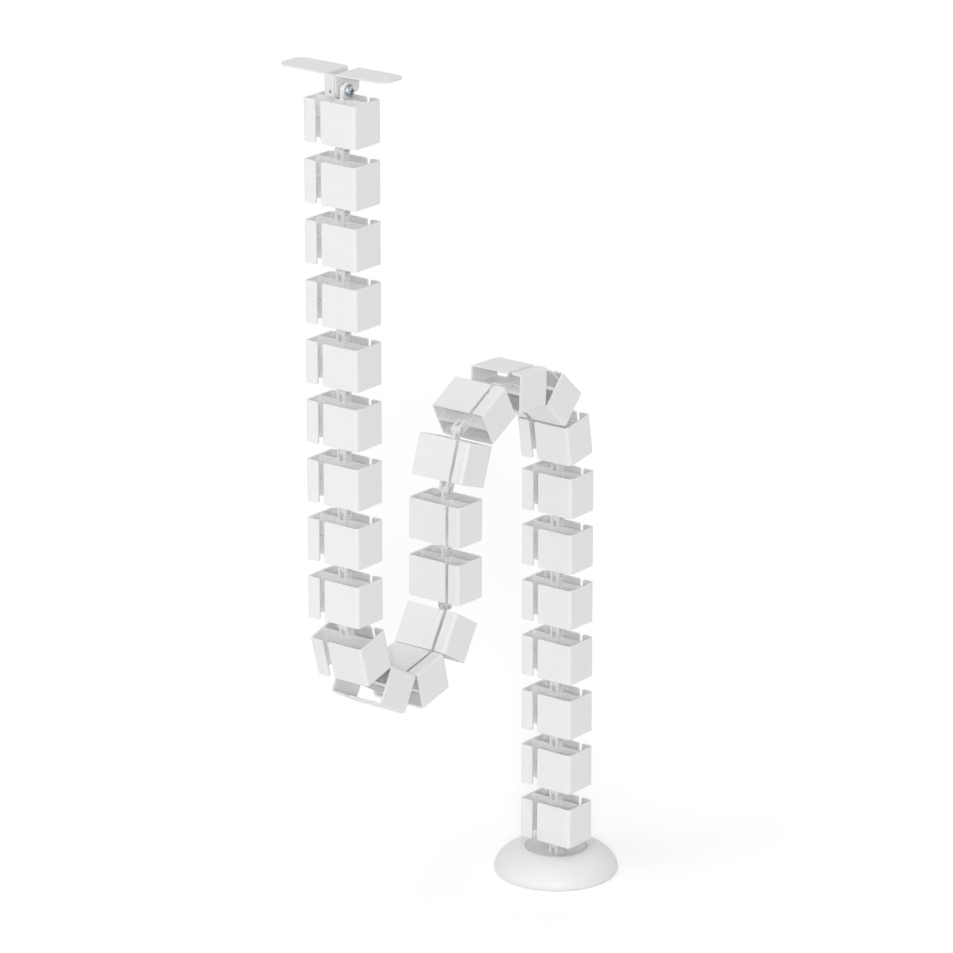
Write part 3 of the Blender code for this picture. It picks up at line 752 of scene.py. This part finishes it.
def build_plates():
    """The right plate, and the left one as its mirror image with the tab."""
    right = angle_plate("plate_right")
    soften(right, SHEET_EDGE)
    right.data.transform(Matrix.Translation((RIGHT_FLANGE, 0, 0)))
    place(polish(right, PAINT, PLATE_SHARP), "mounting_plate_right", "desk_bracket")
    left = angle_plate("plate_left")
    front = -PLATE_FRONT
    low = (-EMBED, front - EMBED, -FLANGE_DROP - EMBED)
    high = (SHEET + EMBED, front + BEND_RADIUS, -FOLD_ROOM_DROP)
    cut(left, block("fold_room", low, high))
    join(left, front_tab())
    soften(left, SHEET_EDGE)
    left.data.transform(Matrix.Translation((LEFT_FLANGE, 0, 0)) @ Matrix.Scale(-1, 4, (1, 0, 0)))
    left.data.flip_normals()
    place(polish(left, PAINT, PLATE_SHARP), "mounting_plate_left", "desk_bracket")


def cross_recess(screw, top, scale=1.0):
    """Cut a cross recess whose wings narrow towards its floor, and say where the floor is."""
    reach = RECESS_REACH * scale
    bottom = RECESS_FLOOR_REACH * scale
    half = RECESS_WIDTH / 2 * scale
    mouth = RECESS_MOUTH_SPREAD * half
    floor = top - RECESS_DEPTH * scale
    outline = [(-reach, top + EMBED), (-reach, top), (-bottom, floor)]
    outline += [(bottom, floor), (reach, top), (reach, top + EMBED)]
    for turn in (0, pi / 2):
        wing = prism("wing", outline, -half, half, XZ)
        wing.data.transform(Matrix.Rotation(turn, 4, "Z"))
        cut(screw, wing)
    centre = [(0, top + EMBED), (mouth, top + EMBED), (mouth, top), (half, floor), (0, floor)]
    cut(screw, lathe("recess_centre", centre, RECESS_TURNS))
    return floor


def paint_recess_shade(screw, floor):
    """Painted shade in the recess, as near-black zinc on its faces: its walls are steeper than the
    dome there, its floor lower.
    """
    top = floor + RECESS_DEPTH
    screw.data.materials.append(PAINTED_RECESS_SHADE)
    for face in screw.data.polygons:
        spot = face.center
        inside = floor - RECESS_MARGIN < spot.z < top and spot.xy.length < RECESS_REACH
        wall = abs(face.normal.z) < RECESS_WALL_LEAN
        bottom = spot.z < floor + RECESS_MARGIN / 2 and face.normal.z > RECESS_FLOOR_LEAN
        if inside and (wall or bottom):
            face.material_index = 1


def thread(name, radius, low, high, steps=THREAD_TURNS):
    """Shank about Z with a helical thread, as a grid whose radius follows the thread."""
    rows = int((high - low) / THREAD_PITCH * THREAD_ROWS)
    work = bmesh.new()
    rings = []
    for row in range(rows + 1):
        z = low + (high - low) * row / rows
        ring = []
        for step in range(steps):
            phase = (z / THREAD_PITCH - step / steps) % 1
            reach = radius - THREAD_DEPTH * abs(2 * phase - 1)
            turn = 2 * pi * step / steps
            ring.append(work.verts.new((reach * cos(turn), reach * sin(turn), z)))
        rings.append(ring)
    for lower, upper in zip(rings, rings[1:]):
        for here in range(steps):
            there = (here + 1) % steps
            work.faces.new((lower[here], lower[there], upper[there], upper[here]))
    work.faces.new(list(reversed(rings[0])))
    work.faces.new(rings[-1])
    mesh = bpy.data.meshes.new(name)
    work.to_mesh(mesh)
    work.free()
    return new_object(name, mesh)


def pan_head(start, radius, height, turns=RING_TURNS):
    """Domed head about Z, over the level start."""
    rise = height / 2
    profile = [(0, start + height)]
    for step in range(1, HEAD_STEPS + 1):
        turn = pi / 2 * step / HEAD_STEPS
        profile.append((radius * sin(turn), start + rise + rise * cos(turn)))
    profile += [(radius, start + HEAD_LIP), (radius - HEAD_LIP, start), (0, start)]
    return lathe("head", profile, turns)


def upright_to_x(piece):
    """Turn a piece that was made about Z to lie about the bracket's hinge axis."""
    piece.data.transform(Matrix.Rotation(pi / 2, 4, "Y"))
    piece.data.transform(Matrix.Translation((0, 0, -HINGE_DROP)))


def ring(name, outer, bore, low, high, edge):
    """Turned ring about Z with small rounded edges."""
    profile = [(bore, high - edge), (bore + edge, high)]
    profile += arc((outer - edge, high - edge), edge, 90, 0, EDGE_STEPS)
    profile += arc((outer - edge, low + edge), edge, 0, -90, EDGE_STEPS)
    profile += [(bore + edge, low), (bore, low + edge), (bore, high - edge)]
    return lathe(name, profile, RING_TURNS)


def pressed_nut(low, high):
    """Hexagon nut about Z with chamfered corners."""
    flat = NUT_ACROSS_FLATS / 2
    corner = flat / cos(pi / 6)
    chamfer = (corner - flat) * NUT_CHAMFER_RISE
    nut = prism("nut", arc((0, 0), corner, 0, 360, 6)[:-1], low, high, XY)
    turned = [(0, high), (flat, high), (corner, high - chamfer)]
    turned += [(corner, low + chamfer), (flat, low), (0, low)]
    combine(nut, lathe("nut_chamfer", turned, NUT_TURNS), "INTERSECT")
    cut(nut, rod("nut_bore", (0, 0), HOLE_RADIUS, low - EMBED, high + EMBED, XY))
    return nut


def build_clamp():
    """Screw through fork and plates, with its washer, spacer and pressed nut."""
    nut_low = LEFT_FLANGE + CLEARANCE
    nut_high = nut_low + NUT_HEIGHT
    spacer_low = nut_high + CLEARANCE
    spacer_high = FORK_LEFT - CLEARANCE
    washer_low = FORK_RIGHT + CLEARANCE
    washer_high = washer_low + WASHER_HEIGHT
    head_at = washer_high + CLEARANCE
    washer = ring("washer", WASHER_RADIUS, HOLE_RADIUS, washer_low, washer_high, WASHER_EDGE)
    spacer = ring("spacer", SPACER_RADIUS, HOLE_RADIUS, spacer_low, spacer_high, SPACER_EDGE)
    nut = pressed_nut(nut_low, nut_high)
    screw = pan_head(head_at, HEAD_RADIUS, HEAD_HEIGHT)
    recess_floor = cross_recess(screw, head_at + HEAD_HEIGHT)
    join(screw, thread("shank", PIN_RADIUS, head_at - SCREW_LENGTH, head_at + EMBED))
    # The recess's walls and floor get the near-black zinc as painted shade
    paint_recess_shade(polish(screw, ZINC, TURNED_SHARP), recess_floor)
    pieces = (
        (washer, WHITE, "clamp_washer", "white_plastic"),
        (spacer, ZINC, "clamp_spacer", "zinc_steel"),
        (nut, ZINC, "clamp_nut", "zinc_steel"),
    )
    for piece, look, node, slot in pieces:
        upright_to_x(piece)
        place(polish(piece, look, TURNED_SHARP), node, "desk_bracket")
    upright_to_x(screw)
    place(screw, "clamp_screw", "desk_bracket")


# The foot
def shell_profile():
    """Section of the shell from the bowl's middle over rim and dome to the cavity's roof."""
    floor = -END_CLEAR
    rim_top = -RIM_BELOW_HINGE
    base = rim_top - FOOT_HEIGHT + PAD_PROUD
    widest = base + FOOT_WIDEST_HEIGHT
    start = RIM_RADIUS + RIM_ROUND
    points = [(0, floor)]
    for step in range(BOWL_STEPS + 1):
        turn = pi / 2 * step / BOWL_STEPS
        radius = BOWL_FLOOR_RADIUS + (RIM_RADIUS - BOWL_FLOOR_RADIUS) * sin(turn)
        points.append((radius, floor + (rim_top - RIM_ROUND - floor) * (1 - cos(turn))))
    points += arc((start, rim_top - RIM_ROUND), RIM_ROUND, 180, 90, RIM_STEPS)[1:]
    for step in range(1, DOME_STEPS + 1):
        turn = pi / 2 * step / DOME_STEPS
        radius = start + (FOOT_RADIUS - start) * sin(turn)
        points.append((radius, widest + (rim_top - widest) * cos(turn) ** DOME_FULLNESS))
    for step in range(1, TURN_IN_STEPS + 1):
        turn = pi / 2 * step / TURN_IN_STEPS
        radius = FOOT_RADIUS - FOOT_TURN_IN * (1 - cos(turn))
        points.append((radius, widest - FOOT_WIDEST_HEIGHT * sin(turn)))
    return points


def screw_circle():
    """Centres of the weight's screws."""
    turns = [2 * pi * (number + 0.5) / FOOT_SCREWS for number in range(FOOT_SCREWS)]
    return [(FOOT_SCREW_CIRCLE * cos(a), FOOT_SCREW_CIRCLE * sin(a)) for a in turns]


def foot_shell(roof, bottom):
    """Dome and bowl over the weight's cavity, with the lowest fork and the pilot holes."""
    base = bottom + PAD_PROUD
    inside = WEIGHT_RADIUS + CLEARANCE
    mouth = FOOT_RADIUS - FOOT_TURN_IN - SHELL_WALL
    seat = bottom + PAD_HEIGHT + CLEARANCE
    profile = shell_profile()
    profile += [(mouth, base), (mouth, seat), (inside, seat), (inside, roof), (0, roof)]
    shell = lathe("foot_dome", profile, DOME_TURNS)
    join(shell, *fork(-END_CLEAR - EMBED))
    pilot = FOOT_SCREW_RADIUS + CLEARANCE
    tip = roof + SHELL_WALL / 2
    for centre in screw_circle():
        cut(shell, rod("pilot", centre, pilot, roof - EMBED, tip, XY, FOOT_HOLE_TURNS))
    return shell


def foot_weight(top, bottom):
    """Steel disc with a hole and a sink for each screw."""
    edge = WEIGHT_EDGE
    profile = [(0, top), (WEIGHT_RADIUS - edge, top), (WEIGHT_RADIUS, top - edge)]
    profile += [(WEIGHT_RADIUS, bottom + edge), (WEIGHT_RADIUS - edge, bottom), (0, bottom)]
    weight = lathe("foot_disc", profile, DISC_TURNS)
    seat = bottom + FOOT_SCREW_HEAD_HEIGHT + 2 * CLEARANCE
    hole = FOOT_SCREW_RADIUS + CLEARANCE
    sink = FOOT_SCREW_HEAD_RADIUS + CLEARANCE
    for centre in screw_circle():
        cut(weight, rod("hole", centre, hole, bottom - EMBED, top + EMBED, XY, FOOT_HOLE_TURNS))
        cut(weight, rod("sink", centre, sink, bottom - EMBED, seat, XY, FOOT_SINK_TURNS))
    return weight


def foot_screw(roof, bottom):
    """One of the weight's screws about Z, its cross recess facing down."""
    tip = roof + SHELL_WALL / 2 - CLEARANCE
    top = -(bottom + CLEARANCE)
    start = top - FOOT_SCREW_HEAD_HEIGHT
    screw = pan_head(start, FOOT_SCREW_HEAD_RADIUS, FOOT_SCREW_HEAD_HEIGHT, FOOT_SINK_TURNS)
    cross_recess(screw, top, FOOT_RECESS_SCALE)
    shank_top = start + EMBED / 2
    join(screw, thread("foot_shank", FOOT_SCREW_RADIUS, -tip, shank_top, FOOT_THREAD_TURNS))
    screw.data.transform(Matrix.Rotation(pi, 4, "X"))
    return screw


def foot_pad(bottom):
    """Rubber disc in the shell's mouth, standing a little proud of it."""
    edge = PAD_EDGE
    radius = FOOT_RADIUS - FOOT_TURN_IN - SHELL_WALL - CLEARANCE
    top = bottom + PAD_HEIGHT
    profile = [(0, top), (radius, top)]
    profile += arc((radius - edge, bottom + edge), edge, 0, -90, EDGE_STEPS)
    profile += [(0, bottom)]
    return lathe("foot_rubber", profile, DISC_TURNS)


def build_foot():
    """The foot's pieces, made about the lowest hinge and moved to it."""
    pivot = Matrix.Translation(joints[-1]["pos_m"])
    roof = -END_CLEAR - SHELL_WALL
    weight_top = roof - CLEARANCE
    weight_bottom = weight_top - WEIGHT_HEIGHT
    bottom = -RIM_BELOW_HINGE - FOOT_HEIGHT
    pieces = (
        (foot_shell(roof, bottom), FOOT_WHITE, "foot_shell", "white_plastic"),
        (foot_weight(weight_top, weight_bottom), STEEL, "foot_weight", "weight_steel"),
        (foot_pad(bottom), RUBBER, "foot_pad", "pad_rubber"),
    )
    for piece, look, node, slot in pieces:
        piece.data.transform(pivot)
        place(polish(piece, look, TURNED_SHARP), node, "foot")
    screw = polish(foot_screw(roof, weight_bottom), ZINC, TURNED_SHARP)
    for number, (x, y) in enumerate(screw_circle(), start=1):
        fixing = new_object("weight_screw_%d" % number, screw.data)
        fixing.location = Vector(joints[-1]["pos_m"]) + Vector((x, y, 0))
        place(fixing, "foot_screw_%d" % number, "foot")
    bpy.data.objects.remove(screw)


# Camera at the photograph's angle: place in metres, tilt and turn in degrees, lens in millimetres
CAMERA_PLACE = (2.59180, -3.20145, 1.01840)
CAMERA_TILT = 90 - 18.03
CAMERA_TURN = 37.57
CAMERA_LENS = 210.964
CAMERA_SENSOR = 36.0
CAMERA_NEAR = 0.1
CAMERA_FAR = 100.0


def build_camera():
    data = bpy.data.cameras.new("camera")
    data.lens = CAMERA_LENS
    data.sensor_width = CAMERA_SENSOR
    data.clip_start = CAMERA_NEAR
    data.clip_end = CAMERA_FAR
    camera = new_object("camera", data)
    camera.location = CAMERA_PLACE
    camera.rotation_euler = (radians(CAMERA_TILT), 0, radians(CAMERA_TURN))
    scene.camera = camera


# Floor: its half size in metres, colour and roughness, and a glow that makes it look as white as
# the backdrop, to the camera and on mirrors only
FLOOR_HALF = 14.0
FLOOR_COLOR = (0.92, 0.92, 0.92, 1)
FLOOR_ROUGHNESS = 0.9
FLOOR_GLOW = 0.33
PLAIN_WHITE = (1, 1, 1, 1)


def seen_directly(tree):
    """1 for rays from the camera, on mirrors or through glass, 0 for light on the object."""
    path = tree.nodes.new("ShaderNodeLightPath")
    seen = path.outputs["Is Camera Ray"]
    for other in ("Is Glossy Ray", "Is Transmission Ray"):
        either = tree.nodes.new("ShaderNodeMath")
        either.operation = "MAXIMUM"
        tree.links.new(seen, either.inputs[0])
        tree.links.new(path.outputs[other], either.inputs[1])
        seen = either.outputs[0]
    return seen


def floor_look():
    """Matt pale floor that shows the object's shadow."""
    look = bpy.data.materials.new("studio_floor")
    look.use_nodes = True
    tree = look.node_tree
    shader = tree.nodes["Principled BSDF"]
    shader.inputs["Base Color"].default_value = FLOOR_COLOR
    shader.inputs["Roughness"].default_value = FLOOR_ROUGHNESS
    shader.inputs["Specular IOR Level"].default_value = 0.0
    glow = tree.nodes.new("ShaderNodeEmission")
    glow.inputs["Color"].default_value = PLAIN_WHITE
    amount = tree.nodes.new("ShaderNodeMath")
    amount.operation = "MULTIPLY"
    amount.inputs[1].default_value = FLOOR_GLOW
    tree.links.new(seen_directly(tree), amount.inputs[0])
    tree.links.new(amount.outputs[0], glow.inputs["Strength"])
    total = tree.nodes.new("ShaderNodeAddShader")
    tree.links.new(shader.outputs[0], total.inputs[0])
    tree.links.new(glow.outputs[0], total.inputs[1])
    tree.links.new(total.outputs[0], tree.nodes["Material Output"].inputs["Surface"])
    return look


def build_floor():
    """Level floor under the foot's pad."""
    level = min(v.co.z for v in nodes["foot_pad"].data.vertices)
    half = FLOOR_HALF
    corners = [(-half, -half, level), (half, -half, level), (half, half, level), (-half, half, level)]
    mesh = bpy.data.meshes.new("floor")
    mesh.from_pydata(corners, [], [(0, 1, 2, 3)])
    floor = new_object("floor", mesh)
    floor.data.materials.append(floor_look())


# Soft light: the world's strength, how far off the lamps stand, and each lamp's name, the
# direction it comes from, its power, and its spread in degrees
WORLD_LIGHT = 0.47
LAMP_DISTANCE = 4
LAMPS = (
    ("front", (0.58, -0.755, 0.31), 0.92, 10),
    ("overhead", (0.0, -0.45, 0.89), 0.64, 40),
    ("side", (-0.45, -1.0, 0.35), 0.13, 25),
)


def sun_lamp(name, towards, power, spread):
    """A soft light from one direction."""
    data = bpy.data.lights.new(name, "SUN")
    data.energy = power
    data.angle = radians(spread)
    lamp = new_object(name, data)
    lamp.location = Vector(towards).normalized() * LAMP_DISTANCE
    lamp.rotation_euler = (-Vector(towards)).to_track_quat("-Z", "Y").to_euler()


def build_light():
    """The lamps, and a world that lights softly and is white where it is seen."""
    world = bpy.data.worlds.new("studio")
    scene.world = world
    world.use_nodes = True
    tree = world.node_tree
    back = tree.nodes["Background"]
    back.inputs["Color"].default_value = PLAIN_WHITE
    back.inputs["Strength"].default_value = WORLD_LIGHT
    white = tree.nodes.new("ShaderNodeBackground")
    white.inputs["Color"].default_value = PLAIN_WHITE
    white.inputs["Strength"].default_value = 1.0
    mix = tree.nodes.new("ShaderNodeMixShader")
    tree.links.new(seen_directly(tree), mix.inputs[0])
    tree.links.new(back.outputs[0], mix.inputs[1])
    tree.links.new(white.outputs[0], mix.inputs[2])
    tree.links.new(mix.outputs[0], tree.nodes["World Output"].inputs["Surface"])
    for name, towards, power, spread in LAMPS:
        sun_lamp(name, towards, power, spread)


def main():
    build_links()
    build_plates()
    build_clamp()
    build_foot()
    build_camera()
    build_floor()
    build_light()
    scene.view_settings.view_transform = "Standard"


main()
